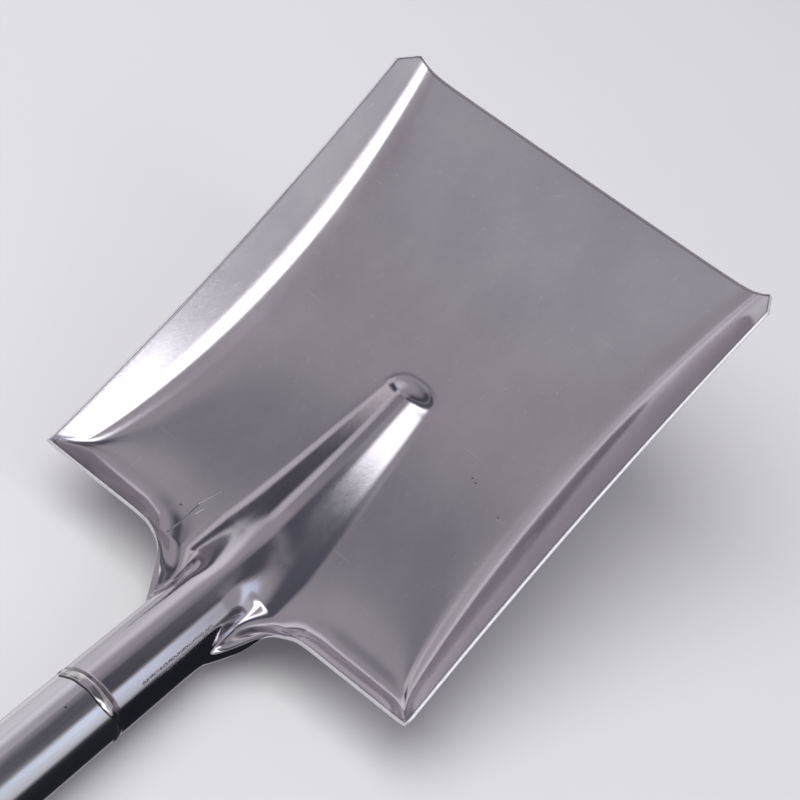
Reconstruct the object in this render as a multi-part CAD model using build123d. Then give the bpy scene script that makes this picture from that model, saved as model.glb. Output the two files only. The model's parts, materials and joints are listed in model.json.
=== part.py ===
from build123d import *
import os
from math import cos, degrees, hypot, pi, radians, sin, sqrt, tan

# Square-mouth detecting shovel: one pressed stainless sheet forms the blade and its socket, and a
# round tube shaft with a T-grip is welded on behind it. It lies on its back: the shaft runs along
# Y, the mouth points to +Y and +Z is up. The origin is on the ground under the middle of its box.

# Driving dimensions, mm. Blade frame: x across, y forward from the rear edge, z off the chord.
BLADE_LENGTH = 255.0
REAR_HALF_WIDTH = 100.0
FRONT_HALF_WIDTH = 106.5
SIDE_WAIST = 3.0              # how far the side edges bow in at mid length
FLANGE_AT_MOUTH = 16.0        # height of the side flange's top edge at the mouth
FLANGE_SAG = 2.0
CORNER_CUT_X = 100.7          # where the mouth's corner cut starts across the blade
CORNER_CUT_Y = 11.0           # how far it runs back
SHEET = 1.5
DISH_LINEAR = -72.0           # the pan's lengthwise dish, as a quadratic in the distance back
DISH_SQUARE = 61.0
FOLD_SLOPE = 1.28             # rise over run of the side flanges and the rear lip
FLANGE_SOFTNESS = 0.55
LIP_SOFTNESS = 0.9
LIP_INNER_X = 12.0            # the lip fades in between these two distances from the middle
LIP_FULL_X = 52.0
LIP_TOP = 1.0
LIP_EASE = 0.4                # its slope near the neck, as a share of FOLD_SLOPE
LIP_EASE_X = 20.0             # the slope grows to its full value between these two distances
LIP_STEEP_X = 50.0

TUBE_RADIUS = 17.5
TUBE_WALL = 1.2
LIFT = radians(21.5)          # angle between the shaft and the blade's chord
SOCKET_LENGTH = 85.5          # blade's rear edge to the ring weld, along the shaft
SEAM_START = 45.0             # where the folded wings meet under the socket
AXIS_HEIGHT = -16.8           # shaft axis height in the blade frame, under the rear edge

NOSE_Y = 120.0                # the ridge's full height ends here
NOSE_HALF_WIDTH = 15.5
NOSE_LENGTH = 14.0
HEEL_Y = 25.0                 # the ridge's full width starts here
HEEL_HALF_WIDTH = 27.0
HEEL_BEND_END = 46.0
NOSE_SLOPE = -0.14            # slope of the ridge's top line after the bend, and how it levels out
NOSE_LEVEL = 0.0009
RIDGE_POWER = 2.4             # roundness of the nose's outline: 2 is an ellipse
RIDGE_SHARE = 0.32            # share of each section's points that lie on the ridge or crown
CROWN_SHARE = 0.55            # share of the ridge's half width that those points cover

CREASE_AT_NECK = 66.0         # angle of the crown's circle before it turns into the wing, degrees
CREASE_AT_SOCKET = 79.0
WING_SLOPE = 0.62             # how fast the wings grow towards the blade, and where they start
WING_END = 31.0
WING_FLARE = 0.25             # their extra flare next to the blade
WING_FLARE_END = 12.0
WING_RISE = 0.5               # how fast their widest point rises towards the blade
WING_RISE_END = 27.0

CORNER_SECTION_Y = 22.0       # where the section through the rear corners crosses the middle
LIP_END_X = 50.0              # the rear lip starts to narrow here, and its place along the shaft
LIP_END_BACK = -9.0
FILLET_X = 43.0               # the neck's fillet starts here and curves back as a power of x
FILLET_DEPTH = 1.9
FILLET_SCALE = 5.0
FILLET_POWER = 1.53
NECK_HALF_WIDTH = 29.0
JOIN_BACK = 0.0               # between these two the flat sheet turns into the socket's section
NECK_BACK = 16.0
CORNER_BACK = (TUBE_RADIUS * sin(LIFT) - CORNER_SECTION_Y) / cos(LIFT)

SHAFT_LENGTH = 620.0          # ring weld to the tube's open end
WELD_WIDTH = 6.0
WELD_HEIGHT = 1.0
SPIGOT_LENGTH = 60.0          # sleeve inside the joint, half in the socket and half in the shaft
SPIGOT_WALL = 1.5
HANG_HOLE_RADIUS = 4.0
HANG_HOLE_FROM_GRIP = 60.0

GRIP_FROM_END = 24.0          # centre of the cross tube, from the shaft's open end
GRIP_RADIUS = 14.0
GRIP_WALL = 1.2
GRIP_LENGTH = 130.0
SADDLE_BEAD = 2.4             # size of the weld around the cross tube
SLEEVE_RADIUS = 17.5
SLEEVE_LENGTH = 42.0
SLEEVE_RIBS = 5
PLUG_HEAD = 4.0
PLUG_DEPTH = 14.0
PLUG_WALL = 2.0
PLUG_LIP = 1.5
CAP_HEAD = 5.0
CAP_DEPTH = 7.0
GAP = 0.05                    # left between parts that touch
QUARTER = 0.552               # handle length of a quarter circle drawn as a cubic curve

# Sections of the sheet: how many points each has, and how many stand along the blade and neck
RIDGE_POINTS = 8
PAN_POINTS = 16
BLADE_STEPS = 24
NOSE_STEPS = 10
NECK_STEPS = 24
SEAM_END_MARGIN = 4.0


def clamp(t):
    return max(0.0, min(1.0, t))


def smooth(t):
    t = clamp(t)
    return t * t * (3 - 2 * t)


def mix(a, b, t):
    return a + (b - a) * t


def soft_max(a, b, blend):
    """The larger of two heights, with a rounded changeover."""
    return (a + b + sqrt((a - b) ** 2 + blend * blend)) / 2


def pan_height(y):
    back = (BLADE_LENGTH - y) / BLADE_LENGTH
    return DISH_LINEAR * back + DISH_SQUARE * back * back


def edge_x(y):
    t = y / BLADE_LENGTH
    return mix(REAR_HALF_WIDTH, FRONT_HALF_WIDTH, t) - SIDE_WAIST * 4 * t * (1 - t)


def edge_height(y):
    t = y / BLADE_LENGTH
    return FLANGE_AT_MOUTH * t - FLANGE_SAG * 4 * t * (1 - t)


def fold(height, inset, softness):
    """Height of a turned-up rim at a distance in from its edge, with a soft bend at its foot."""
    height = max(height, 0.01)
    blend = softness * height
    flat = height - blend * blend / (4 * height) - FOLD_SLOPE * inset
    return (flat + sqrt(flat * flat + blend * blend)) / 2


def crown_height(y):
    """Height of the ridge's top line: along the shaft, through a bend, then nearly level."""
    start = TUBE_RADIUS * sin(LIFT)
    top = AXIS_HEIGHT + TUBE_RADIUS * cos(LIFT)
    steep = -tan(LIFT)
    run = min(max(y - start, 0.0), HEEL_BEND_END - start)
    bend = steep * run + (NOSE_SLOPE - steep) * run * run / (2 * (HEEL_BEND_END - start))
    before = steep * min(y - start, 0.0)
    beyond = max(y - HEEL_BEND_END, 0.0)
    return top + before + bend + NOSE_SLOPE * beyond + NOSE_LEVEL * beyond * beyond


def ridge_half_width(y):
    return mix(HEEL_HALF_WIDTH, NOSE_HALF_WIDTH, clamp((y - HEEL_Y) / (NOSE_Y - HEEL_Y)))


def neck_line(x):
    """How far behind the rear edge the sheet ends in the neck's fillet, and its slope there."""
    inward = max(FILLET_X - x, 0.0) / FILLET_SCALE
    slope = FILLET_DEPTH * FILLET_POWER / FILLET_SCALE * inward ** (FILLET_POWER - 1)
    return FILLET_DEPTH * inward ** FILLET_POWER, slope


def sheet_height(x, y):
    """Height of the pressed sheet over the blade: dished pan, side flanges, rear lip and ridge."""
    pan = pan_height(y)
    side = fold(edge_height(y) - pan, edge_x(y) - x, FLANGE_SOFTNESS)
    lip_share = smooth((x - LIP_INNER_X) / (LIP_FULL_X - LIP_INNER_X))
    steepness = mix(LIP_EASE, 1.0, smooth((x - LIP_EASE_X) / (LIP_STEEP_X - LIP_EASE_X)))
    drop, slant = neck_line(x)
    inset = max(y + drop, 0.0) / sqrt(1 + slant * slant) * steepness
    lip = fold((LIP_TOP - pan_height(0)) * lip_share, inset, LIP_SOFTNESS)
    tray = pan + soft_max(side, lip, 2.0) - 1.0
    full = min(y, NOSE_Y)
    rise = crown_height(full) - pan_height(full)
    half = ridge_half_width(y)
    past_nose = max(y - NOSE_Y, 0.0) * half / NOSE_LENGTH
    reach = clamp((x ** RIDGE_POWER + past_nose ** RIDGE_POWER) ** (1 / RIDGE_POWER) / half)
    return tray + rise * (1 + cos(pi * reach)) / 2


def on_shaft(x, back, up):
    """A point given across the shaft, back along it and up from its axis, in the blade frame."""
    return (x, up * sin(LIFT) - back * cos(LIFT), AXIS_HEIGHT + back * sin(LIFT) + up * cos(LIFT))


def soft_zero(t, blend):
    """t where it is above zero and nothing below, with a rounded changeover."""
    return (t + sqrt(t * t + blend * blend)) / 2


def bezier(a, b, c, d, t):
    return a * (1 - t) ** 3 + 3 * b * t * (1 - t) ** 2 + 3 * c * t * t * (1 - t) + d * t ** 3


def wing_point(t, back, crease):
    """Point of the wing, from the crown's crease (t = 0) out, over and under to the seam (t = 1).

    The first curve leaves the crown's circle smoothly and swings out to the widest point, and the
    second is the quarter round below it.
    """
    live = smooth((SEAM_START - back) / 12)
    foot_x, foot_up = TUBE_RADIUS * sin(crease), TUBE_RADIUS * cos(crease)
    wide_x = WING_SLOPE * soft_zero(WING_END - back, 3.0)
    wide_x += WING_FLARE * max(WING_FLARE_END - back, 0.0) ** 1.5
    wide_x = TUBE_RADIUS + wide_x * live
    wide_up = WING_RISE * soft_zero(WING_RISE_END - back, 3.0) * live
    pull = mix(0.42, 0.335, smooth((back - 12) / 26)) * hypot(wide_x - foot_x, wide_up - foot_up)
    split = mix(0.45, 0.12, smooth((back - 16) / 24))
    if t < split:
        first = t / split
        x = bezier(foot_x, foot_x + pull * cos(crease), wide_x, wide_x, first)
        up = bezier(foot_up, foot_up - pull * sin(crease), wide_up + pull, wide_up, first)
        return x, up
    second = (t - split) / (1 - split)
    drop = QUARTER * (wide_up + TUBE_RADIUS)
    x = bezier(wide_x, wide_x, GAP + QUARTER * wide_x, GAP, second)
    return x, bezier(wide_up, wide_up - drop, -TUBE_RADIUS, -TUBE_RADIUS, second)


def socket_point(u, back):
    """Half section of the socket: u = 0 at the crown, RIDGE_SHARE at the crease, 1 at the edge."""
    crease = radians(mix(CREASE_AT_NECK, CREASE_AT_SOCKET, smooth((back + 8) / 56)))
    if u <= RIDGE_SHARE:
        angle = crease * u / RIDGE_SHARE
        return on_shaft(TUBE_RADIUS * sin(angle), back, TUBE_RADIUS * cos(angle))
    wrapped = mix(0.42, 1.0, smooth((back - 6) / (SEAM_START - 6)))
    x, up = wing_point(wrapped * (u - RIDGE_SHARE) / (1 - RIDGE_SHARE), back, crease)
    return on_shaft(x, back, up)


def across(u, y, edge):
    """Distance from the middle at share u of a section that ends at edge."""
    half = ridge_half_width(y) * CROWN_SHARE
    if u <= RIDGE_SHARE:
        return half * u / RIDGE_SHARE
    return mix(half, edge, (u - RIDGE_SHARE) / (1 - RIDGE_SHARE))


def blade_point(u, v):
    """Point of the sheet from the mouth (v = 0) to the section through the rear corners (v = 1)."""
    y = mix(BLADE_LENGTH, 0.0, v)
    for _ in range(4):
        x = across(u, y, edge_x(y))
        y = mix(BLADE_LENGTH, CORNER_SECTION_Y * (1 - (x / REAR_HALF_WIDTH) ** 2), v)
    return (x, y, sheet_height(x, y))


def neck_point(u, back):
    """Point of the sheet from the rear corners' section back through the neck to the socket."""
    middle = TUBE_RADIUS * sin(LIFT) - back * cos(LIFT)
    t = clamp((back - CORNER_BACK) / (LIP_END_BACK - CORNER_BACK))
    narrow = clamp((back - LIP_END_BACK) / (NECK_BACK - LIP_END_BACK))
    edge = mix(mix(REAR_HALF_WIDTH, LIP_END_X, t), NECK_HALF_WIDTH, narrow)
    rear = -neck_line(edge)[0]
    x = across(u, middle, edge)
    y = middle + (rear - middle) * (x / edge) ** 2
    joined = smooth((back - JOIN_BACK) / (NECK_BACK - JOIN_BACK))
    if joined >= 1:
        return socket_point(u, back)
    flat = (x, y, sheet_height(x, y))
    if joined <= 0:
        return flat
    return tuple(mix(p, q, joined) for p, q in zip(flat, socket_point(u, back)))


def sheet_point(u, s):
    """Point of the whole sheet: s from 0 to 1 is the blade, and beyond 1 is mm back from it."""
    if s <= 1.0:
        return Vector(*blade_point(u, s))
    return Vector(*neck_point(u, CORNER_BACK + (s - 1.0)))


def sheet_normal(u, s):
    """Unit normal on the sheet's upper, outer side."""
    step = 0.002
    low_u, high_u = max(u - step, 0.0), min(u + step, 1.0)
    low_s, high_s = max(s - step, 0.0), s + (0.0 if s == 1.0 else step)
    over = sheet_point(high_u, s) - sheet_point(low_u, s)
    along = sheet_point(u, high_s) - sheet_point(u, low_s)
    return along.cross(over).normalized()


def shares():
    """Positions of a half section's points, closer together at the crease and at the edge."""
    ridge = [RIDGE_SHARE * sin(pi / 2 * i / RIDGE_POINTS) for i in range(RIDGE_POINTS + 1)]
    steps = [(1 - cos(pi * i / PAN_POINTS)) / 2 for i in range(1, PAN_POINTS + 1)]
    return ridge + [mix(RIDGE_SHARE, 1.0, t) for t in steps]


def section(s):
    """Closed outline of the sheet's thickness at one section, from its left edge to its right."""
    upper, lower = [], []
    for u in shares():
        point = sheet_point(u, s)
        normal = sheet_normal(u, s)
        if u == 0.0:
            normal.X = 0.0
        if s == 0.0:
            normal.Y = 0.0
        upper.append(point)
        lower.append(point - normal.normalized() * SHEET)
    top = Edge.make_spline(mirrored(upper))
    bottom = Edge.make_spline(mirrored(lower))
    left = Edge.make_line(top @ 0, bottom @ 0)
    right = Edge.make_line(top @ 1, bottom @ 1)
    return Wire([top, right, bottom, left])


def mirrored(points):
    left = [Vector(-p.X, p.Y, p.Z) for p in reversed(points[1:])]
    return left + points


# Solids: each is built with the shaft's axis on Y and the blade's rear edge above the origin


def make_blade():
    """Blade and socket as one pressed sheet, with the mouth's corners cut off."""
    nose = mix(0.0, 1.0, (BLADE_LENGTH - NOSE_Y - NOSE_LENGTH) / (BLADE_LENGTH - CORNER_SECTION_Y))
    heights = [i / BLADE_STEPS for i in range(BLADE_STEPS + 1)]
    heights += [nose - 0.01 + 0.06 * i / NOSE_STEPS for i in range(NOSE_STEPS + 1)]
    neck_length = SEAM_START - CORNER_BACK
    backs = [1.0 + neck_length * i / NECK_STEPS for i in range(1, NECK_STEPS + 1)]
    backs.append(1.0 + SOCKET_LENGTH - CORNER_BACK)
    stations = sorted(set(round(s, 4) for s in heights)) + backs
    sheet = Solid.make_loft([section(s) for s in stations], ruled=True)
    reach = 20.0
    outer_x = edge_x(BLADE_LENGTH - CORNER_CUT_Y)
    slant = CORNER_CUT_Y / (outer_x - CORNER_CUT_X)
    for side in (1, -1):
        corner = Polyline(
            (side * CORNER_CUT_X, BLADE_LENGTH),
            (side * (CORNER_CUT_X - reach / slant), BLADE_LENGTH + reach),
            (side * (outer_x + reach), BLADE_LENGTH + reach),
            (side * (outer_x + reach), BLADE_LENGTH - CORNER_CUT_Y - slant * reach),
            close=True,
        )
        sheet = sheet - extrude(make_face(corner), 100.0, both=True)
    lift = Location((0, 0, 0), (degrees(LIFT), 0, 0)) * Location((0, 0, -AXIS_HEIGHT))
    return lift * sheet


def tube(outer, wall, start, end):
    """Round tube on the Y axis between two places."""
    ring = Circle(outer) - Circle(outer - wall)
    return Plane(origin=(0, start, 0), z_dir=(0, 1, 0)) * extrude(ring, end - start)


def bead(radius):
    """Profile of a ring weld at a radius from the Y axis, on the XY plane about y = 0."""
    base = radius + GAP / 2
    crest = ThreePointArc((base, -WELD_WIDTH / 2), (base + WELD_HEIGHT, 0), (base, WELD_WIDTH / 2))
    return make_face([crest, Line(crest @ 1, crest @ 0)])


def make_ring_weld():
    return Location((0, -SOCKET_LENGTH, 0)) * revolve(bead(TUBE_RADIUS), Axis.Y, 360)


def make_seam_weld():
    """Bead along the seam under the socket, where the sheet's two edges meet."""
    length = SOCKET_LENGTH - SEAM_START - WELD_WIDTH / 2 - SEAM_END_MARGIN
    half = degrees(WELD_WIDTH / 2 / TUBE_RADIUS)
    base = TUBE_RADIUS + GAP / 2
    foot = CenterArc((0, 0), base, -90 - half, 2 * half)
    crest = ThreePointArc(foot @ 1, (0, -base - WELD_HEIGHT), foot @ 0)
    profile = Plane.XZ * make_face([foot, crest])
    return Location((0, -SEAM_START, 0)) * extrude(profile, length)


def make_spigot():
    outer = TUBE_RADIUS - SHEET - GAP
    start = -SOCKET_LENGTH - SPIGOT_LENGTH / 2
    return tube(outer, SPIGOT_WALL, start, start + SPIGOT_LENGTH)


SHAFT_START = -SOCKET_LENGTH - GAP
SHAFT_END = SHAFT_START - SHAFT_LENGTH
GRIP_Y = SHAFT_END + GRIP_FROM_END


def make_shaft():
    """Shaft tube with the cross tube's holes and a hanging hole through it."""
    shaft = tube(TUBE_RADIUS, TUBE_WALL, SHAFT_END, SHAFT_START)
    cross = Cylinder(GRIP_RADIUS + GAP, 4 * TUBE_RADIUS, rotation=(0, 90, 0))
    peg = Cylinder(HANG_HOLE_RADIUS, 4 * TUBE_RADIUS)
    shaft -= Pos(0, GRIP_Y, 0) * cross
    return shaft - Pos(0, GRIP_Y + HANG_HOLE_FROM_GRIP, 0) * peg


def make_grip_tube():
    ring = Circle(GRIP_RADIUS) - Circle(GRIP_RADIUS - GRIP_WALL)
    cross = Plane.YZ * extrude(ring, GRIP_LENGTH / 2, both=True)
    return Pos(0, GRIP_Y, 0) * cross


def make_grip_weld(side):
    """Saddle bead around the cross tube where it leaves the shaft."""
    width = GRIP_RADIUS + SADDLE_BEAD
    height = TUBE_RADIUS + SADDLE_BEAD
    collar = Rot(0, 90, 0) * (Cylinder(width, 2 * height) - Cylinder(GRIP_RADIUS + GAP, 2 * height))
    shell = Rot(90, 0, 0) * (Cylinder(height, 3 * width) - Cylinder(TUBE_RADIUS + GAP, 3 * width))
    half = Pos(side * height, 0, 0) * Box(2 * height, 4 * height, 4 * height)
    return Pos(0, GRIP_Y, 0) * (collar & shell & half)


def make_sleeve(side):
    """Rubber sleeve with shallow ribs, pushed on the cross tube up to its end."""
    start = GRIP_LENGTH / 2 - SLEEVE_LENGTH
    sleeve = Cylinder(SLEEVE_RADIUS, SLEEVE_LENGTH) - Cylinder(GRIP_RADIUS + GAP, SLEEVE_LENGTH)
    sleeve = fillet(sleeve.edges().filter_by(GeomType.CIRCLE).group_by(SortBy.RADIUS)[-1], 2.0)
    pitch = SLEEVE_LENGTH / (SLEEVE_RIBS + 1)
    for i in range(1, SLEEVE_RIBS + 1):
        groove = Pos(0, 0, i * pitch - SLEEVE_LENGTH / 2) * Torus(SLEEVE_RADIUS + 0.4, 1.2)
        sleeve = sleeve - groove
    place = Pos(side * (start + SLEEVE_LENGTH / 2), GRIP_Y, 0) * Rot(0, 90, 0)
    return place * sleeve


def stopper(stem_radius, stem_length, head_radius, head_length, rounding):
    """Plug with a rounded head on +Z and its stem below, its shoulder a hair above z = 0."""
    stem = Cylinder(stem_radius, stem_length, align=(Align.CENTER, Align.CENTER, Align.MAX))
    head = Cylinder(head_radius, head_length, align=(Align.CENTER, Align.CENTER, Align.MIN))
    head = fillet(head.edges().group_by(Axis.Z)[-1], rounding)
    return Pos(0, 0, GAP) * (stem + head)


def make_plug(side):
    """Plastic plug that closes the cross tube's end, hollow from its inner end."""
    bore = GRIP_RADIUS - GRIP_WALL
    plug = stopper(bore - GAP, PLUG_DEPTH, GRIP_RADIUS + PLUG_LIP, PLUG_HEAD, 1.5)
    depth = PLUG_DEPTH - PLUG_WALL
    plug -= Pos(0, 0, -PLUG_DEPTH + depth / 2) * Cylinder(bore - PLUG_WALL, depth + GAP)
    return Pos(side * (GRIP_LENGTH / 2), GRIP_Y, 0) * Rot(0, side * 90, 0) * plug


def make_end_cap():
    """Low domed plug that closes the shaft's open end."""
    cap = stopper(TUBE_RADIUS - TUBE_WALL - GAP, CAP_DEPTH, TUBE_RADIUS, CAP_HEAD, 3.0)
    return Pos(0, SHAFT_END, 0) * Rot(90, 0, 0) * cap


def make_parts():
    return {
        "blade": make_blade(),
        "socket_seam_weld": make_seam_weld(),
        "socket_ring_weld": make_ring_weld(),
        "joint_spigot": make_spigot(),
        "shaft_tube": make_shaft(),
        "grip_tube": make_grip_tube(),
        "left_grip_weld": make_grip_weld(-1),
        "right_grip_weld": make_grip_weld(1),
        "left_grip_sleeve": make_sleeve(-1),
        "right_grip_sleeve": make_sleeve(1),
        "left_grip_plug": make_plug(-1),
        "right_grip_plug": make_plug(1),
        "shaft_end_cap": make_end_cap(),
    }


def main():
    os.makedirs("parts", exist_ok=True)
    parts = make_parts()
    boxes = [shape.bounding_box() for shape in parts.values()]
    rear = min(box.min.Y for box in boxes)
    front = max(box.max.Y for box in boxes)
    lowest = min(box.min.Z for box in boxes)
    ground = Pos(0, -(rear + front) / 2, -lowest)
    for name, shape in parts.items():
        export_step(ground * shape, f"parts/{name}.step")


main()
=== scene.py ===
import json
import bpy
import numpy as np
from mathutils import Matrix, Vector
from math import cos, pi, radians, sin, tan


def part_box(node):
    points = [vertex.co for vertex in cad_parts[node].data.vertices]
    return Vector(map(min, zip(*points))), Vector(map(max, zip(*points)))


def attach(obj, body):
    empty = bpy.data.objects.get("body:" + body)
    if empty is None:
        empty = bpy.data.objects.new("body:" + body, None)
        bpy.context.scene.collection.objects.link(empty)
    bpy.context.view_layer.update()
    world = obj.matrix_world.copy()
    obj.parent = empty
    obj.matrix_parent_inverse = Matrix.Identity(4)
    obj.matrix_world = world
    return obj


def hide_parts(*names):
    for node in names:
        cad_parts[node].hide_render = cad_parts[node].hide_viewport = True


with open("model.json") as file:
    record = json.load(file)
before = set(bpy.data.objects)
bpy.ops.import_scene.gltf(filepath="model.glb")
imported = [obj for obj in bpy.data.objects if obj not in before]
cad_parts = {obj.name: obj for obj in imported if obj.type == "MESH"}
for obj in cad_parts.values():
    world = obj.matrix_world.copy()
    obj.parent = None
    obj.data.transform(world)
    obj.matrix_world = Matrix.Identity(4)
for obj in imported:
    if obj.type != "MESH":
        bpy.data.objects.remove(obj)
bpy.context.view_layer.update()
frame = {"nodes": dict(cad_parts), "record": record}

# Detecting shovel: the blade and its ring weld are built here as fine meshes, and everything else
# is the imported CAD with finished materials. Formulas are in mm; meshes in metres.

MM = 0.001

# Blade frame, mm: x across, y forward from the rear edge, z off the chord
BLADE_LENGTH = 255.0
REAR_HALF_WIDTH = 100.0
FRONT_HALF_WIDTH = 106.5
SIDE_WAIST = 3.0
FLANGE_AT_MOUTH = 16.0
FLANGE_SAG = 2.0
CORNER_CUT_X = 100.7
CORNER_CUT_Y = 11.0
SHEET = 1.5
DISH_LINEAR = -72.0
DISH_SQUARE = 61.0
FOLD_SLOPE = 1.28
FLANGE_SOFTNESS = 0.55
LIP_SOFTNESS = 0.9
LIP_INNER_X = 12.0
LIP_FULL_X = 52.0
LIP_TOP = 1.0
LIP_EASE = 0.4
LIP_EASE_X = 20.0
LIP_STEEP_X = 50.0
FOLD_BLEND = 2.0                # rounding where the lip meets the side flanges
TUBE_RADIUS = 17.5
LIFT = radians(21.5)
SOCKET_LENGTH = 85.5
SEAM_START = 45.0
AXIS_HEIGHT = -16.8
NOSE_Y = 120.0
NOSE_HALF_WIDTH = 9.0
NOSE_LENGTH = 14.0
HEEL_Y = 25.0
HEEL_HALF_WIDTH = 16.5
HEEL_BEND_END = 46.0
NOSE_SLOPE = -0.14
NOSE_LEVEL = 0.0009
BELL_AT_HEEL = 27.0
BELL_AT_NOSE = 15.5
BELL_POWER = 2.4                # 2 would round the nose's outline as an ellipse
RIDGE_SHARE = 0.32              # share of a half section that the ridge's crown takes
CREASE = (66.0, 79.0)           # degrees around the tube from its top, at the neck and the socket
PULL = (0.42, 0.335)            # of the wing's first curve, at the neck and the socket
SPLIT = (0.45, 0.12)            # share of the wing that its first curve takes, likewise
WRAPPED = (0.42, 1.0)           # share of the way under the tube that the wing goes, likewise
WIDE_SLOPE = 0.62               # how fast the wings widen forward of where they begin
WIDE_END = 31.0
FLARE = 0.25                    # extra widening next to the blade
FLARE_END = 12.0
FLARE_POWER = 1.5
WIDE_RISE = 0.5                 # how fast the wings' widest line climbs towards the blade
WIDE_RISE_END = 27.0
WIDE_BLEND = 3.0
WING_FADE = 12.0                # the wings are gone this far ahead of the seam's start
QUARTER = 0.552                 # pull of a cubic that draws a quarter of a circle
CORNER_SECTION_Y = 22.0
LIP_END_X = 50.0
NECK_HALF_WIDTH = 29.0
FILLET_X = 43.0
FILLET_SCALE = 5.0
FILLET_DEPTH = 1.9
FILLET_POWER = 1.53
FILLET_SLOPE = 0.58             # FILLET_DEPTH * FILLET_POWER / FILLET_SCALE, rounded
LIP_END_BACK = -9.0
NECK_BACK = 16.0
JOIN_BACK = 0.0
CREASE_CHANGE = (-8.0, 56.0)    # start and length of each change, mm back along the shaft
PULL_CHANGE = (12.0, 26.0)
SPLIT_CHANGE = (16.0, 24.0)
WRAPPED_CHANGE = (6.0, SEAM_START - 6.0)
CORNER_BACK = (TUBE_RADIUS * sin(LIFT) - CORNER_SECTION_Y) / cos(LIFT)
GAP = 0.05                      # half the seam's width

# Where the shaft's axis lies in the row frame, from the ring weld, which is centred on it
WELD_LOW, WELD_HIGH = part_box("socket_ring_weld")
SHIFT = np.array([0.0, (WELD_LOW.y + WELD_HIGH.y) / 2 / MM + SOCKET_LENGTH,
                  (WELD_LOW.z + WELD_HIGH.z) / 2 / MM])


def to_row(points):
    """Points in the blade frame, mm, as row frame metres."""
    p = np.array(points, float)
    y = p[..., 1]
    z = p[..., 2] - AXIS_HEIGHT
    turned = np.stack([p[..., 0], y * cos(LIFT) - z * sin(LIFT), y * sin(LIFT) + z * cos(LIFT)], -1)
    return (turned + SHIFT) * MM


def turn_to_row(direction):
    """A direction in the blade frame, turned into the row frame."""
    x, y, z = direction
    return Vector((x, y * cos(LIFT) - z * sin(LIFT), y * sin(LIFT) + z * cos(LIFT)))


# Shape of the pressed sheet, on arrays


def clamp(t):
    return np.clip(t, 0.0, 1.0)


def smooth(t):
    t = clamp(t)
    return t * t * (3 - 2 * t)


def mix(a, b, t):
    return a + (b - a) * t


def soft_max(a, b, blend):
    return (a + b + np.sqrt((a - b) ** 2 + blend * blend)) / 2


def pan_height(y):
    back = (BLADE_LENGTH - y) / BLADE_LENGTH
    return DISH_LINEAR * back + DISH_SQUARE * back * back


def edge_x(y):
    t = y / BLADE_LENGTH
    return mix(REAR_HALF_WIDTH, FRONT_HALF_WIDTH, t) - SIDE_WAIST * 4 * t * (1 - t)


def edge_height(y):
    t = y / BLADE_LENGTH
    return FLANGE_AT_MOUTH * t - FLANGE_SAG * 4 * t * (1 - t)


def fold(height, inset, softness):
    height = np.maximum(height, 0.01)
    blend = softness * height
    flat = height - blend * blend / (4 * height) - FOLD_SLOPE * inset
    return (flat + np.sqrt(flat * flat + blend * blend)) / 2


def crown_height(y):
    start = TUBE_RADIUS * sin(LIFT)
    top = AXIS_HEIGHT + TUBE_RADIUS * cos(LIFT)
    steep = -tan(LIFT)
    run = np.minimum(np.maximum(y - start, 0.0), HEEL_BEND_END - start)
    bend = steep * run + (NOSE_SLOPE - steep) * run * run / (2 * (HEEL_BEND_END - start))
    before = steep * np.minimum(y - start, 0.0)
    beyond = np.maximum(y - HEEL_BEND_END, 0.0)
    after = NOSE_SLOPE * beyond + NOSE_LEVEL * beyond * beyond
    return top + before + bend + after


def ridge_half_width(y):
    return mix(HEEL_HALF_WIDTH, NOSE_HALF_WIDTH, clamp((y - HEEL_Y) / (NOSE_Y - HEEL_Y)))


def neck_line(x):
    """How far behind the rear edge the sheet ends in the neck's fillet, and its slope there."""
    inward = np.maximum(FILLET_X - x, 0.0) / FILLET_SCALE
    back = FILLET_DEPTH * inward ** FILLET_POWER
    return back, FILLET_SLOPE * inward ** (FILLET_POWER - 1)


def sheet_height(x, y):
    pan = pan_height(y)
    side = fold(edge_height(y) - pan, edge_x(y) - x, FLANGE_SOFTNESS)
    lip_share = smooth((x - LIP_INNER_X) / (LIP_FULL_X - LIP_INNER_X))
    drop, slant = neck_line(x)
    inset = np.maximum(y + drop, 0.0) / np.sqrt(1 + slant * slant)
    inset = inset * mix(LIP_EASE, 1.0, smooth((x - LIP_EASE_X) / (LIP_STEEP_X - LIP_EASE_X)))
    lip = fold((LIP_TOP - pan_height(0.0)) * lip_share, inset, LIP_SOFTNESS)
    tray = pan + soft_max(side, lip, FOLD_BLEND) - FOLD_BLEND / 2
    crest_y = np.minimum(y, NOSE_Y)
    rise = crown_height(crest_y) - pan_height(crest_y)
    half = mix(BELL_AT_HEEL, BELL_AT_NOSE, clamp((y - HEEL_Y) / (NOSE_Y - HEEL_Y)))
    past_nose = np.maximum(y - NOSE_Y, 0.0) * half / NOSE_LENGTH
    reach = clamp((x ** BELL_POWER + past_nose ** BELL_POWER) ** (1 / BELL_POWER) / half)
    return tray + rise * (1 + np.cos(pi * reach)) / 2


def on_shaft(x, back, up):
    x, back, up = np.broadcast_arrays(x, back, up)
    height = AXIS_HEIGHT + back * sin(LIFT) + up * cos(LIFT)
    return np.stack([x, up * sin(LIFT) - back * cos(LIFT), height], -1)


def bezier(a, b, c, d, t):
    return a * (1 - t) ** 3 + 3 * b * t * (1 - t) ** 2 + 3 * c * t * t * (1 - t) + d * t ** 3


def soft_zero(t, blend):
    """t where it is above zero and nothing below, with a rounded changeover."""
    return (t + np.sqrt(t * t + blend * blend)) / 2


def along(pair, change, back):
    """A value that goes smoothly from the pair's first to its second over a change."""
    start, length = change
    return mix(*pair, smooth((back - start) / length))


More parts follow.
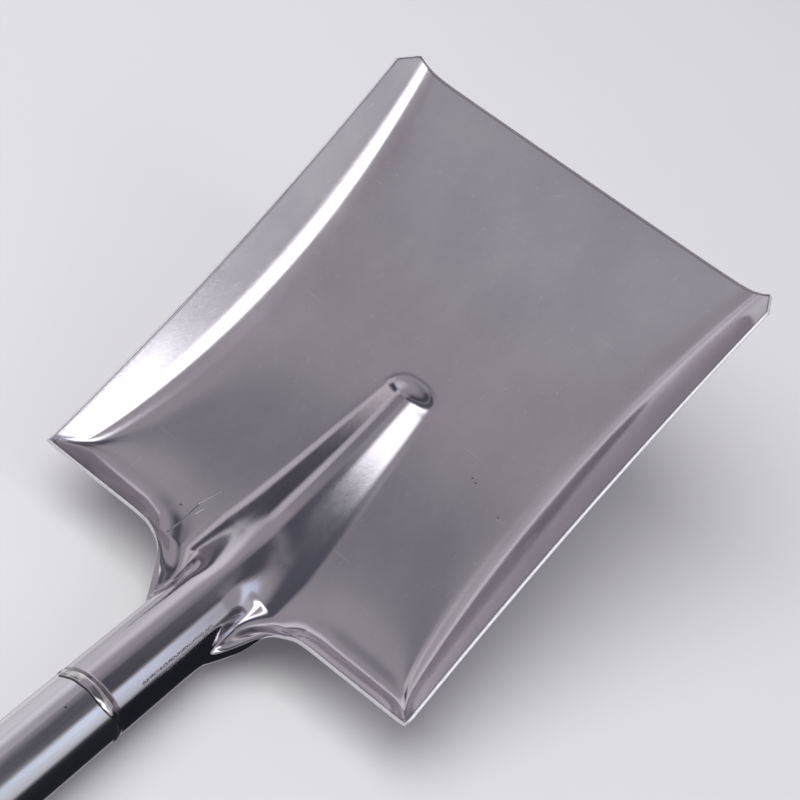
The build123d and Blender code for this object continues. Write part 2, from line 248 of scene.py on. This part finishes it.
def socket_point(u, back):
    """Half section of the socket: a crown on the tube's circle up to the crease, then the wing.

    The wing leaves the crease outwards, turns down at its widest point and rolls under the tube.
    """
    live = smooth((SEAM_START - back) / WING_FADE)
    crease = np.radians(along(CREASE, CREASE_CHANGE, back))
    crown = crease * np.minimum(u / RIDGE_SHARE, 1.0)
    foot_x, foot_up = TUBE_RADIUS * np.sin(crease), TUBE_RADIUS * np.cos(crease)
    spread = WIDE_SLOPE * soft_zero(WIDE_END - back, WIDE_BLEND)
    spread = spread + FLARE * np.maximum(FLARE_END - back, 0.0) ** FLARE_POWER
    wide_x = TUBE_RADIUS + spread * live
    wide_up = WIDE_RISE * soft_zero(WIDE_RISE_END - back, WIDE_BLEND) * live
    pull = along(PULL, PULL_CHANGE, back) * np.hypot(wide_x - foot_x, wide_up - foot_up)
    split = along(SPLIT, SPLIT_CHANGE, back)
    wrapped = along(WRAPPED, WRAPPED_CHANGE, back)
    t = wrapped * np.maximum(u - RIDGE_SHARE, 0.0) / (1 - RIDGE_SHARE)
    first, second = clamp(t / split), clamp((t - split) / (1 - split))
    first_x = bezier(foot_x, foot_x + pull * np.cos(crease), wide_x, wide_x, first)
    first_up = bezier(foot_up, foot_up - pull * np.sin(crease), wide_up + pull, wide_up, first)
    second_x = bezier(wide_x, wide_x, GAP + QUARTER * wide_x, GAP, second)
    drop = QUARTER * (wide_up + TUBE_RADIUS)
    second_up = bezier(wide_up, wide_up - drop, -TUBE_RADIUS, -TUBE_RADIUS, second)
    wing_x = np.where(t < split, first_x, second_x)
    wing_up = np.where(t < split, first_up, second_up)
    x = np.where(u <= RIDGE_SHARE, TUBE_RADIUS * np.sin(crown), wing_x)
    up = np.where(u <= RIDGE_SHARE, TUBE_RADIUS * np.cos(crown), wing_up)
    return on_shaft(x, back, up)


def across(u, y, edge):
    half = ridge_half_width(y)
    wing = mix(half, edge, (u - RIDGE_SHARE) / (1 - RIDGE_SHARE))
    return np.where(u <= RIDGE_SHARE, half * u / RIDGE_SHARE, wing)


def blade_point(u, v):
    """From the mouth, with its corners cut off, to the section through the rear corners."""
    y = mix(BLADE_LENGTH, 0.0, v) + 0 * u
    outer = edge_x(BLADE_LENGTH - CORNER_CUT_Y)
    for _ in range(6):
        x = across(u, y, edge_x(y))
        front = BLADE_LENGTH - CORNER_CUT_Y * clamp((x - CORNER_CUT_X) / (outer - CORNER_CUT_X))
        y = mix(front, CORNER_SECTION_Y * (1 - (x / REAR_HALF_WIDTH) ** 2), v)
    return np.stack([x, y, sheet_height(x, y)], -1)


def neck_point(u, back):
    middle = TUBE_RADIUS * sin(LIFT) - back * cos(LIFT)
    t = clamp((back - CORNER_BACK) / (LIP_END_BACK - CORNER_BACK))
    narrow = clamp((back - LIP_END_BACK) / (NECK_BACK - LIP_END_BACK))
    edge = mix(mix(REAR_HALF_WIDTH, LIP_END_X, t), NECK_HALF_WIDTH, narrow)
    rear = -neck_line(edge)[0]
    x = across(u, middle, edge)
    y = middle + (rear - middle) * (x / edge) ** 2
    joined = smooth((back - JOIN_BACK) / (NECK_BACK - JOIN_BACK))[..., None]
    flat = np.stack([x, y, sheet_height(x, y)], -1)
    return mix(flat, socket_point(u, back), joined)


def sheet_point(u, s):
    """s from 0 to 1 is the blade, and beyond 1 is mm back from it."""
    u, s = np.broadcast_arrays(np.asarray(u, float), np.asarray(s, float))
    blade = blade_point(u, np.minimum(s, 1.0))
    neck = neck_point(u, CORNER_BACK + np.maximum(s - 1.0, 0.0))
    return np.where((s <= 1.0)[..., None], blade, neck)


def sheet_normal(u, s):
    step = 0.0015
    u, s = np.broadcast_arrays(np.asarray(u, float), np.asarray(s, float))
    low_u, high_u = np.maximum(u - step, 0.0), np.minimum(u + step, 1.0)
    low_s = np.maximum(s - step, 0.0)
    high_s = np.where(s <= 1.0, np.minimum(s + step, 1.0), s + step)
    over = sheet_point(high_u, s) - sheet_point(low_u, s)
    along = sheet_point(u, high_s) - sheet_point(u, low_s)
    normal = np.cross(along, over)
    normal[..., 0] = np.where(u == 0.0, 0.0, normal[..., 0])
    return normal / np.linalg.norm(normal, axis=-1, keepdims=True)


# Meshes


def add_mesh(name, points, faces, body="root"):
    mesh = bpy.data.meshes.new(name)
    mesh.from_pydata([tuple(p) for p in points], [], faces)
    mesh.update()
    mesh.polygons.foreach_set("use_smooth", [True] * len(mesh.polygons))
    piece = bpy.data.objects.new(name, mesh)
    bpy.context.scene.collection.objects.link(piece)
    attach(piece, body)
    return piece


def grid_faces(rows, columns, start=0, flip=False):
    faces = []
    for r in range(rows - 1):
        for c in range(columns - 1):
            a = start + r * columns + c
            face = (a, a + 1, a + columns + 1, a + columns)
            faces.append(face[::-1] if flip else face)
    return faces


def set_attribute(piece, name, values):
    layer = piece.data.attributes.new(name, "FLOAT", "POINT")
    layer.data.foreach_set("value", np.asarray(values, np.float32))


RIDGE_STEPS = 26                # how finely the sheet's mesh is divided
WING_STEPS = 70
BLADE_STEPS = 150
SOCKET_STEPS = 16
NECK_STEP = 0.45                # mm


def crowded(t, share):
    """0 to 1, with steps that get closer together at both ends."""
    return mix(t, (1 - cos(pi * t)) / 2, share)


def half_shares():
    """Shares across a half section, closer together at the crease and the edge."""
    ridge = [RIDGE_SHARE * i / RIDGE_STEPS for i in range(RIDGE_STEPS + 1)]
    wing = []
    for i in range(1, WING_STEPS + 1):
        wing.append(mix(RIDGE_SHARE, 1.0, crowded(i / WING_STEPS, 0.75)))
    return np.array(ridge + wing)


def stations():
    """Stations from the mouth to the socket's end, as sheet_point takes them."""
    blade = [crowded(i / BLADE_STEPS, 0.35) for i in range(BLADE_STEPS + 1)]
    neck_count = int((SEAM_START - CORNER_BACK) / NECK_STEP)
    neck = [1.0 + NECK_STEP * i for i in range(1, neck_count + 1)]
    socket = []
    for i in range(SOCKET_STEPS + 1):
        socket.append(1.0 + mix(SEAM_START, SOCKET_LENGTH, i / SOCKET_STEPS) - CORNER_BACK)
    return np.array(blade + neck + socket)


RIM = 0.3                       # rounding of the sheet's cut edges
RIM_PROFILE = [
    (0.3 * RIM, 0.7 * RIM),
    (RIM, RIM),
    (SHEET - RIM, RIM),
    (SHEET - 0.3 * RIM, 0.7 * RIM),
]                               # depth below the sheet's top and reach beyond its edge
WING_TIP = 1.0 + NECK_BACK - CORNER_BACK        # station where the lip's edge has ended
WING_TIP_BLEND = 12.0


def build_blade():
    shares = half_shares()
    rows = stations()
    u, s = np.meshgrid(shares, rows)
    half = sheet_point(u, s)
    half_normal = sheet_normal(u, s)
    flip = np.array([-1.0, 1.0, 1.0])
    top = np.concatenate([half[:, :0:-1] * flip, half], axis=1)
    normal = np.concatenate([half_normal[:, :0:-1] * flip, half_normal], axis=1)
    count_r, count_c = top.shape[:2]
    bottom = top - normal * SHEET
    loop = [(0, c) for c in range(count_c)]
    loop += [(r, count_c - 1) for r in range(1, count_r)]
    loop += [(count_r - 1, c) for c in range(count_c - 2, -1, -1)]
    loop += [(r, 0) for r in range(count_r - 2, 0, -1)]
    rim_points = []
    for r, c in loop:
        inner_r = 1 if r == 0 else (count_r - 2 if r == count_r - 1 else r)
        inner_c = 1 if c == 0 else (count_c - 2 if c == count_c - 1 else c)
        out = top[r, c] - top[inner_r, inner_c]
        out -= normal[r, c] * (out @ normal[r, c])
        out /= np.linalg.norm(out)
        rim_points.append((top[r, c], out, normal[r, c]))
    ring = []
    for depth, reach in RIM_PROFILE:
        ring.append([p + out * reach - n * depth for p, out, n in rim_points])
    points = np.concatenate([top.reshape(-1, 3), bottom.reshape(-1, 3), np.array(ring).reshape(-1, 3)])
    size = count_r * count_c
    faces = grid_faces(count_r, count_c, 0, True) + grid_faces(count_r, count_c, size, False)
    loop_top = [r * count_c + c for r, c in loop]
    strips = [loop_top]
    for k in range(len(RIM_PROFILE)):
        strips.append([2 * size + k * len(loop) + i for i in range(len(loop))])
    strips.append([size + i for i in loop_top])
    for first, second in zip(strips, strips[1:]):
        for i in range(len(loop)):
            j = (i + 1) % len(loop)
            faces.append((first[i], second[i], second[j], first[j]))
    piece = add_mesh("pressed_blade", to_row(points), faces)
    rim = np.zeros(len(points))
    rim[2 * size:] = 1.0
    set_attribute(piece, "rim", rim)
    inset = np.linalg.norm(top - top[:1], axis=-1)
    for side in (top[:, -1:], top[:, :1]):
        inset = np.minimum(inset, np.linalg.norm(top - side, axis=-1))
    on_rim = np.zeros(len(points) - 2 * size)
    set_attribute(piece, "inset", np.concatenate([inset.ravel(), inset.ravel(), on_rim]))
    rear = smooth((rows - 0.97) / 0.03) * smooth((WING_TIP - rows) / WING_TIP_BLEND)
    rear = np.repeat(rear[:, None], count_c, axis=1).ravel()
    set_attribute(piece, "rear", np.concatenate([rear, rear, on_rim]))
    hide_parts("blade")
    return piece


def noise_1d(count, seed, waves):
    """A smooth closed random profile between -1 and 1."""
    rng = np.random.default_rng(seed)
    t = np.linspace(0, 2 * pi, count, endpoint=False)
    total = np.zeros(count)
    for k in waves:
        total += rng.normal() * np.sin(k * t + rng.uniform(0, 2 * pi)) / k ** 0.5
    return total / np.abs(total).max()


BEAD_SUNK = 0.02                # how far its foot lies inside the tube's surface, mm
BEAD_STARTS = -56.0             # where the bead is broad, degrees from its top
BEAD_ENDS = 78.0
BEAD_STARTS_OVER = 8.0          # it widens quickly on one side and tapers slowly on the other
BEAD_ENDS_OVER = 45.0


def build_ring_weld():
    """Hand-polished bead around the tube, wide and flat on top, thin and low underneath."""
    around, along = 360, 21
    turn = (np.linspace(0, 360, around, endpoint=False) + 180) % 360 - 180
    broad = smooth((turn - BEAD_STARTS) / BEAD_STARTS_OVER)
    broad = broad * smooth((BEAD_ENDS - turn) / BEAD_ENDS_OVER)
    width = 1.1 + 1.5 * broad + 0.3 * noise_1d(around, 3, (2, 3, 5, 8, 13))
    height = 0.45 + 0.3 * broad + 0.12 * noise_1d(around, 5, (3, 5, 8, 13))
    drift = -2.2 * broad + 0.45 * noise_1d(around, 7, (2, 3, 5, 8, 13))
    points = []
    undercut_shade = []
    for i in range(around):
        angle = 2 * pi * i / around
        for k in range(along):
            t = -cos(pi * k / (along - 1))
            dome = (1 - t * t) ** 0.5
            ripple = 0.04 * sin(5 * t + 4 * angle) + 0.02 * sin(17 * angle + 3 * t)
            radius = TUBE_RADIUS - BEAD_SUNK + height[i] * dome + ripple * dome
            undercut_shade.append(smooth((abs(t) - 0.72) / 0.2))
            y = -SOCKET_LENGTH + drift[i] + width[i] * t
            points.append((radius * sin(angle), y, radius * cos(angle)))
    faces = []
    for i in range(around):
        j = (i + 1) % around
        for k in range(along - 1):
            faces.append((i * along + k, j * along + k, j * along + k + 1, i * along + k + 1))
        faces.append((i * along + along - 1, j * along + along - 1, j * along, i * along))
    placed = (np.array(points) + SHIFT) * MM
    piece = add_mesh("ring_weld_bead", placed, [f[::-1] for f in faces])
    set_attribute(piece, "undercut_shade", undercut_shade)
    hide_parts("socket_ring_weld")
    return piece


# Materials


class Nodes:
    """Short calls that add shader nodes to one material."""

    def __init__(self, name):
        self.material = bpy.data.materials.new(name)
        self.material.use_nodes = True
        self.tree = self.material.node_tree
        self.shader = self.tree.nodes["Principled BSDF"]

    def add(self, kind, inputs=None, **settings):
        node = self.tree.nodes.new(kind)
        for key, value in settings.items():
            setattr(node, key, value)
        for key, value in (inputs or {}).items():
            self.put(node.inputs[key], value)
        return node

    def put(self, socket, value):
        if isinstance(value, bpy.types.NodeSocket):
            self.tree.links.new(value, socket)
        else:
            socket.default_value = value

    def set(self, **inputs):
        for key, value in inputs.items():
            self.put(self.shader.inputs[key.replace("_", " ")], value)

    def place(self, scale, turn=(0, 0, 0)):
        where = self.add("ShaderNodeTexCoord").outputs["Object"]
        return self.add("ShaderNodeMapping", {"Vector": where, "Scale": scale, "Rotation": turn}).outputs[0]

    def noise(self, scale, detail=4.0, rough=0.55, stretch=(1, 1, 1), turn=(0, 0, 0)):
        where = self.place(stretch, turn)
        inputs = {"Vector": where, "Scale": scale, "Detail": detail, "Roughness": rough}
        return self.add("ShaderNodeTexNoise", inputs).outputs["Fac"]

    def range(self, value, low, high, to_low=0.0, to_high=1.0):
        inputs = {"Value": value, "From Min": low, "From Max": high}
        inputs.update({"To Min": to_low, "To Max": to_high})
        return self.add("ShaderNodeMapRange", inputs).outputs[0]

    def math(self, operation, a, b=0.0):
        node = self.add("ShaderNodeMath", operation=operation)
        self.put(node.inputs[0], a)
        self.put(node.inputs[1], b)
        return node.outputs[0]

    def blend(self, share, a, b):
        node = self.add("ShaderNodeMix", data_type="RGBA")
        self.put(node.inputs[0], share)
        self.put(node.inputs[6], a)
        self.put(node.inputs[7], b)
        return node.outputs[2]

    def near(self, a, b, reach):
        """1 on the line between two points of the row frame, falling to 0 reach mm away from it."""
        run = Vector(b) - Vector(a)
        where = self.add("ShaderNodeTexCoord").outputs["Object"]
        off = self.add("ShaderNodeVectorMath", {0: where, 1: Vector(a)}, operation="SUBTRACT").outputs[0]
        inputs = {0: off, 1: run / run.length_squared}
        along = self.add("ShaderNodeVectorMath", inputs, operation="DOT_PRODUCT").outputs["Value"]
        along = self.add("ShaderNodeClamp", {"Value": along}).outputs[0]
        foot = self.add("ShaderNodeVectorMath", {0: run, "Scale": along}, operation="SCALE").outputs[0]
        gap = self.add("ShaderNodeVectorMath", {0: off, 1: foot}, operation="DISTANCE").outputs["Value"]
        return self.range(gap, reach * MM, 0.0)

    def band(self, value, start, end, soft):
        """1 between two values, with soft ends."""
        rise = self.range(value, start - soft, start + soft)
        return self.math("MULTIPLY", rise, self.range(value, end + soft, end - soft))

    def attribute(self, name):
        return self.add("ShaderNodeAttribute", attribute_name=name).outputs["Fac"]

    def bump(self, height, strength, distance, normal=None):
        inputs = {"Height": height, "Strength": strength, "Distance": distance}
        if normal is not None:
            inputs["Normal"] = normal
        return self.add("ShaderNodeBump", inputs).outputs[0]


def tint(r, g, b):
    return (r, g, b, 1.0)


# Marks on the pressed sheet, mm in the blade frame, as x and y
SCRATCHES = [
    ((-34.4, 3.0), (-34.6, 22.7)),
    ((-34.6, 22.7), (-31.5, 34.0)),
    ((-32.4, 18.0), (-31.2, 22.4)),
]
SPECKS = [(47.6, 111.1), (50.1, 110.0), (68.2, 102.7), (-40.1, 17.2)]
SCRATCH_REACH = 0.35
SCRATCH_PIECES = 4              # straight pieces that follow the curved sheet
SPECK_REACH = 0.75
PITTED_LINE_X = 12.6            # on the socket, along the shaft
PITTED_LINE_BACK = (26.0, 68.0)


def on_sheet(x, y):
    return Vector(to_row((x, y, float(sheet_height(abs(x), y)))))


def on_tube(x, back):
    return Vector(to_row(on_shaft(x, back, (TUBE_RADIUS ** 2 - x * x) ** 0.5)))


def sheet_material():
    n = Nodes("satin_pressed_sheet")
    cloud = n.noise(26, 5, 0.6, (1, 0.6, 1))
    grain = n.noise(900, 3, 0.6, (1, 0.05, 1))
    fine = n.noise(2600, 2, 0.5, (1, 0.04, 1))
    hair = n.noise(700, 2, 0.4, (1, 0.02, 1), (0, 0, 0.35))
    cross_hair = n.noise(520, 2, 0.4, (0.03, 1, 1), (0, 0, -0.5))
    hairs = n.math("MAXIMUM", n.range(hair, 0.68, 0.76), n.range(cross_hair, 0.70, 0.78))
    base = n.blend(n.range(cloud, 0.35, 0.65), tint(0.60, 0.57, 0.61), tint(0.68, 0.65, 0.68))
    base = n.blend(n.math("MULTIPLY", hairs, 0.25), base, tint(0.85, 0.84, 0.87))

    marks = 0.0
    for start, end in SCRATCHES:
        stops = [i / SCRATCH_PIECES for i in range(SCRATCH_PIECES + 1)]
        path = [on_sheet(mix(start[0], end[0], t), mix(start[1], end[1], t)) for t in stops]
        for a, b in zip(path, path[1:]):
            marks = n.math("MAXIMUM", marks, n.near(a, b, SCRATCH_REACH))
    for x, y in SPECKS:
        marks = n.math("MAXIMUM", marks, n.near(on_sheet(x, y), on_sheet(x + 0.1, y), SPECK_REACH))
    first, last = (on_tube(PITTED_LINE_X, back) for back in PITTED_LINE_BACK)
    pits = n.range(n.noise(1500, 3, 0.6), 0.47, 0.58)
    marks = n.math("MAXIMUM", marks, n.math("MULTIPLY", n.near(first, last, 0.8), pits))
    base = n.blend(n.math("MULTIPLY", marks, 0.85), base, tint(0.10, 0.09, 0.10))

    inset = n.attribute("inset")
    rear = n.attribute("rear")
    wear = n.range(n.noise(650, 3, 0.6), 0.38, 0.62)
    # Cut edges lightened: partly worn bare metal, partly a painted highlight along the rims
    edge = n.math("MAXIMUM", n.attribute("rim"), n.range(inset, 0.55, 0.3))
    edge = n.math("MULTIPLY", edge, n.range(wear, 0.0, 1.0, 0.85, 1.0))
    # painted shadow: a thin dark line just inside the cut edges, where shade falls behind the rounded rim
    painted_edge_shadow = n.band(inset, 0.8, 1.15, 0.25)
    # painted shade: a dark band a little inside the rear edge, beside the lip's fold
    rear_painted_shade = n.math("MULTIPLY", n.band(inset, 1.9, 2.8, 0.35), rear)
    base = n.blend(n.math("MULTIPLY", painted_edge_shadow, 0.7), base, tint(0.12, 0.11, 0.13))
    base = n.blend(n.math("MULTIPLY", rear_painted_shade, 0.6), base, tint(0.16, 0.15, 0.17))
    base = n.blend(edge, base, tint(0.82, 0.82, 0.84))
    rubbed = n.math("MULTIPLY", n.range(inset, 9.0, 0.5), wear)

    rough = n.range(cloud, 0.3, 0.7, 0.09, 0.14)
    rough = n.math("ADD", rough, n.range(fine, 0.3, 0.7, -0.02, 0.02))
    rough = n.math("ADD", rough, n.math("MULTIPLY", rubbed, 0.07))
    rough = n.math("ADD", rough, n.math("MULTIPLY", edge, 0.25))
    rough = n.math("ADD", rough, n.math("MULTIPLY", marks, 0.35))
    normal = n.bump(grain, 0.10, 0.00012)
    normal = n.bump(fine, 0.06, 0.00005, normal)
    normal = n.bump(n.math("SUBTRACT", 1.0, marks), 0.5, 0.0003, normal)
    metallic = n.range(edge, 0.0, 1.0, 1.0, 0.55)
    n.set(Base_Color=base, Metallic=metallic, Roughness=rough, Normal=normal)
    return n.material


def tube_material():
    n = Nodes("brushed_tube")
    grain = n.noise(1400, 3, 0.6, (1, 0.03, 1))
    cloud = n.noise(18, 4, 0.6)
    hair = n.range(n.noise(800, 2, 0.4, (1, 0.015, 1), (0, 0, 0.12)), 0.67, 0.75)
    base = n.blend(n.range(cloud, 0.35, 0.65), tint(0.74, 0.73, 0.76), tint(0.82, 0.81, 0.84))
    base = n.blend(n.math("MULTIPLY", hair, 0.35), base, tint(0.86, 0.86, 0.89))
    speck = n.near(on_tube(1.1, 101.9), on_tube(1.1, 102.1), SPECK_REACH)
    base = n.blend(speck, base, tint(0.10, 0.10, 0.11))
    rough = n.range(grain, 0.3, 0.7, 0.11, 0.20)
    n.set(Base_Color=base, Metallic=1.0, Roughness=rough, Normal=n.bump(grain, 0.12, 0.00008))
    return n.material


def weld_material():
    n = Nodes("ground_weld")
    lumps = n.noise(300, 4, 0.5)
    base = n.blend(n.range(lumps, 0.4, 0.7), tint(0.62, 0.60, 0.60), tint(0.82, 0.80, 0.80))
    # painted shade: dark bands along the bead's toes, in the undercut grooves
    base = n.blend(n.attribute("undercut_shade"), base, tint(0.07, 0.065, 0.07))
    n.set(Base_Color=base, Metallic=1.0, Roughness=n.range(lumps, 0.3, 0.7, 0.10, 0.22),
          Normal=n.bump(lumps, 0.25, 0.0002))
    return n.material


def rubber_material():
    n = Nodes("grip_rubber")
    grain = n.noise(1800, 3, 0.6)
    dust = n.range(n.noise(60, 5, 0.65), 0.5, 0.75)
    base = n.blend(grain, tint(0.018, 0.018, 0.02), tint(0.035, 0.035, 0.038))
    base = n.blend(n.math("MULTIPLY", dust, 0.35), base, tint(0.09, 0.085, 0.08))
    inputs = {"Vector": n.place((1, 1, 1)), "Scale": 900.0}
    stipple = n.add("ShaderNodeTexVoronoi", inputs).outputs["Distance"]
    normal = n.bump(stipple, 0.35, 0.00015, n.bump(grain, 0.25, 0.0001))
    rough = n.range(grain, 0.3, 0.7, 0.6, 0.8)
    n.set(Base_Color=base, Roughness=rough, Normal=normal)
    return n.material


def plastic_material():
    n = Nodes("plug_plastic")
    grain = n.noise(900, 3, 0.6)
    scuff = n.range(n.noise(160, 3, 0.7, (1, 0.3, 1)), 0.6, 0.75)
    base = n.blend(grain, tint(0.028, 0.028, 0.03), tint(0.045, 0.045, 0.048))
    base = n.blend(n.math("MULTIPLY", scuff, 0.5), base, tint(0.10, 0.10, 0.105))
    rough = n.math("ADD", n.range(grain, 0.3, 0.7, 0.38, 0.5), n.math("MULTIPLY", scuff, 0.15))
    n.set(Base_Color=base, Roughness=rough, Normal=n.bump(grain, 0.15, 0.0001))
    return n.material


def give(piece, material):
    piece.data.materials.clear()
    piece.data.materials.append(material)


# Stage, lights and camera


FLOOR_HALF_SIDE = 6.0           # m


def add_floor():
    """Pale floor that pales further away, where the soft light no longer reaches it."""
    mesh = bpy.data.meshes.new("floor")
    corners = [(-1, -1), (1, -1), (1, 1), (-1, 1)]
    points = [(x * FLOOR_HALF_SIDE, y * FLOOR_HALF_SIDE, 0) for x, y in corners]
    mesh.from_pydata(points, [], [(0, 1, 2, 3)])
    floor = bpy.data.objects.new("floor", mesh)
    bpy.context.scene.collection.objects.link(floor)
    floor.visible_glossy = False
    n = Nodes("pale_floor")
    cloud = n.noise(3.0, 3, 0.5)
    away = n.add("ShaderNodeVectorMath", {0: n.place((1, 1, 1))}, operation="LENGTH").outputs["Value"]
    n.set(Base_Color=n.blend(cloud, tint(0.61, 0.61, 0.63), tint(0.63, 0.63, 0.65)), Roughness=0.6,
          Emission_Color=tint(*BACKDROP), Emission_Strength=n.range(away, 1.3, 3.5, 0.0, 0.6))
    give(floor, n.material)


def add_overhead(name, toward, distance, size, watts):
    """Soft light from a direction in the blade frame that lights the floor but isn't mirrored."""
    target = Vector(to_row((0.0, 100.0, 0.0)))
    direction = turn_to_row(toward).normalized()
    light = bpy.data.lights.new(name, "AREA")
    light.shape = "DISK"
    light.size = size
    light.energy = watts
    lamp = bpy.data.objects.new(name, light)
    lamp.location = target + direction * distance
    lamp.rotation_euler = (-direction).to_track_quat("-Z", "Y").to_euler()
    lamp.visible_glossy = False
    bpy.context.scene.collection.objects.link(lamp)


# The studio around the shovel, as soft-edged panels. Each has the angle of its middle towards +x
# and towards +y from the blade's upright, its half angles, the softness of its edges, the rise of
# its long side and its colour. A later panel covers an earlier one.
TENT = (0.40, 0.375, 0.405)
BACKDROP = (0.70, 0.70, 0.73)   # beyond the floor, for the camera only
PANELS = [
    ((-84, 24, 18, 24, 8, 10, 0.0), (0.50, 0.475, 0.51)),
    ((-84, 58, 26, 24, 12, 6, 0.0), (0.82, 0.79, 0.85)),
    ((-134, 64, 18, 10, 8, 5, 0.0), (0.17, 0.16, 0.18)),
    ((0, 54, 26, 9, 14, 6, 0.0), (0.24, 0.23, 0.26)),
    ((18, 48, 27, 7, 5, 4, 0.0), (0.09, 0.09, 0.11)),
    ((16, 33, 26, 6, 9, 2.5, 0.0), (0.10, 0.105, 0.13)),
    ((30, -12, 44, 16, 12, 10, 0.0), (0.12, 0.125, 0.15)),
    ((-28, 25, 18, 5, 7, 4, 0.0), (0.26, 0.25, 0.28)),
    ((-8, 2, 22, 7, 8, 5, 0.0), (0.435, 0.42, 0.455)),
    ((-130, 15, 14, 8, 5, 4, 0.0), (0.74, 0.72, 0.76)),
    ((71, 38, 20, 4, 5, 2, -0.32), (0.86, 0.95, 1.12)),
    ((84, 14, 18, 22, 5, 8, 0.0), (0.58, 0.58, 0.61)),
    ((-62, 21, 12, 2, 5, 1.5, 0.0), (0.74, 0.69, 0.72)),
    ((-50, 28, 8, 6, 4, 2, 0.0), (0.62, 0.59, 0.63)),
    ((-69, 27.5, 9, 4.5, 2, 1.5, 0.0), (0.07, 0.07, 0.09)),
    ((-98, 17, 9, 4, 3, 3, 0.0), (0.28, 0.27, 0.30)),
    ((-82, 19, 5, 7, 3, 3, 0.0), (0.75, 0.73, 0.78)),
    ((-105, 24, 10, 5, 4, 2, 0.0), (0.66, 0.64, 0.67)),
    ((-92, 31, 14, 5, 6, 3, 0.0), (0.71, 0.69, 0.72)),
    ((36, 23.5, 18, 3, 8, 2, 0.0), (2.2, 2.2, 2.3)),
    ((68, 11, 9, 3, 3, 2, 0.0), (2.4, 2.4, 2.5)),
    ((54, 11, 8, 14, 3, 3, 0.0), (2.6, 2.6, 2.7)),
    ((54, -6, 4, 10, 3, 5, 0.0), (1.6, 1.6, 1.7)),
    ((137, 8, 42, 38, 5, 6, 0.0), (0.015, 0.017, 0.022)),
]


def add_world():
    world = bpy.data.worlds.new("studio")
    bpy.context.scene.world = world
    world.use_nodes = True
    n = Nodes.__new__(Nodes)
    n.tree = world.node_tree
    where = n.add("ShaderNodeTexCoord").outputs["Generated"]
    turned = n.add("ShaderNodeMapping", {"Vector": where, "Rotation": (-LIFT, 0, 0)}).outputs[0]
    parts = n.add("ShaderNodeSeparateXYZ", {"Vector": turned}).outputs
    toward_x = n.math("ARCTAN2", parts["X"], parts["Z"])
    toward_y = n.math("ARCSINE", parts["Y"])
    colour = tint(*TENT)
    for (x, y, half_x, half_y, soft_x, soft_y, rise), paint in PANELS:
        off_x = n.math("SUBTRACT", toward_x, radians(x))
        off_y = n.math("SUBTRACT", toward_y, radians(y))
        off_y = n.math("SUBTRACT", off_y, n.math("MULTIPLY", off_x, rise))
        share = 1.0
        for off, half, soft in ((off_x, half_x, soft_x), (off_y, half_y, soft_y)):
            off = n.math("ABSOLUTE", off)
            inputs = {"Value": off, "From Min": radians(half + soft), "From Max": radians(half - soft)}
            edge = n.add("ShaderNodeMapRange", inputs, interpolation_type="SMOOTHSTEP").outputs[0]
            share = n.math("MULTIPLY", share, edge)
        colour = n.blend(share, colour, tint(*paint))
    seen = n.add("ShaderNodeLightPath").outputs["Is Camera Ray"]
    colour = n.blend(seen, colour, tint(*BACKDROP))
    background = world.node_tree.nodes["Background"]
    n.put(background.inputs["Color"], colour)


CAMERA_AT = (257.8, -205.4, 820.5)
IMAGE_RIGHT = (0.77078, 0.63704, 0.00877)
IMAGE_DOWN = (0.57398, -0.68837, -0.44350)
FOCAL = 2088.2 / 800            # in picture widths
SENSOR = 36.0


def add_camera():
    data = bpy.data.cameras.new("camera")
    data.sensor_width = SENSOR
    data.lens = FOCAL * SENSOR
    camera = bpy.data.objects.new("camera", data)
    right = turn_to_row(IMAGE_RIGHT).normalized()
    up = -turn_to_row(IMAGE_DOWN)
    up = (up - right * up.dot(right)).normalized()
    back = right.cross(up)
    axes = Matrix((right, up, back)).transposed().to_4x4()
    camera.matrix_world = Matrix.Translation(Vector(to_row(CAMERA_AT))) @ axes
    bpy.context.scene.collection.objects.link(camera)
    bpy.context.scene.camera = camera


blade = build_blade()
ring_weld = build_ring_weld()

SHEET_FINISH = sheet_material()
TUBE_FINISH = tube_material()
WELD_FINISH = weld_material()
RUBBER_FINISH = rubber_material()
PLASTIC_FINISH = plastic_material()
give(blade, SHEET_FINISH)
give(ring_weld, WELD_FINISH)
FINISHES = {
    "satin_sheet": SHEET_FINISH,
    "tube_steel": TUBE_FINISH,
    "weld": WELD_FINISH,
    "grip_rubber": RUBBER_FINISH,
    "plug_plastic": PLASTIC_FINISH,
}
for subpart in frame["record"]["subparts"]:
    give(frame["nodes"][subpart["node"]], FINISHES[subpart["material_slot"]])

add_floor()
add_world()
add_overhead("overhead", (-0.2, 0.1, 1.0), 2.2, 2.4, 55)
add_camera()
bpy.context.scene.view_settings.view_transform = "Standard"
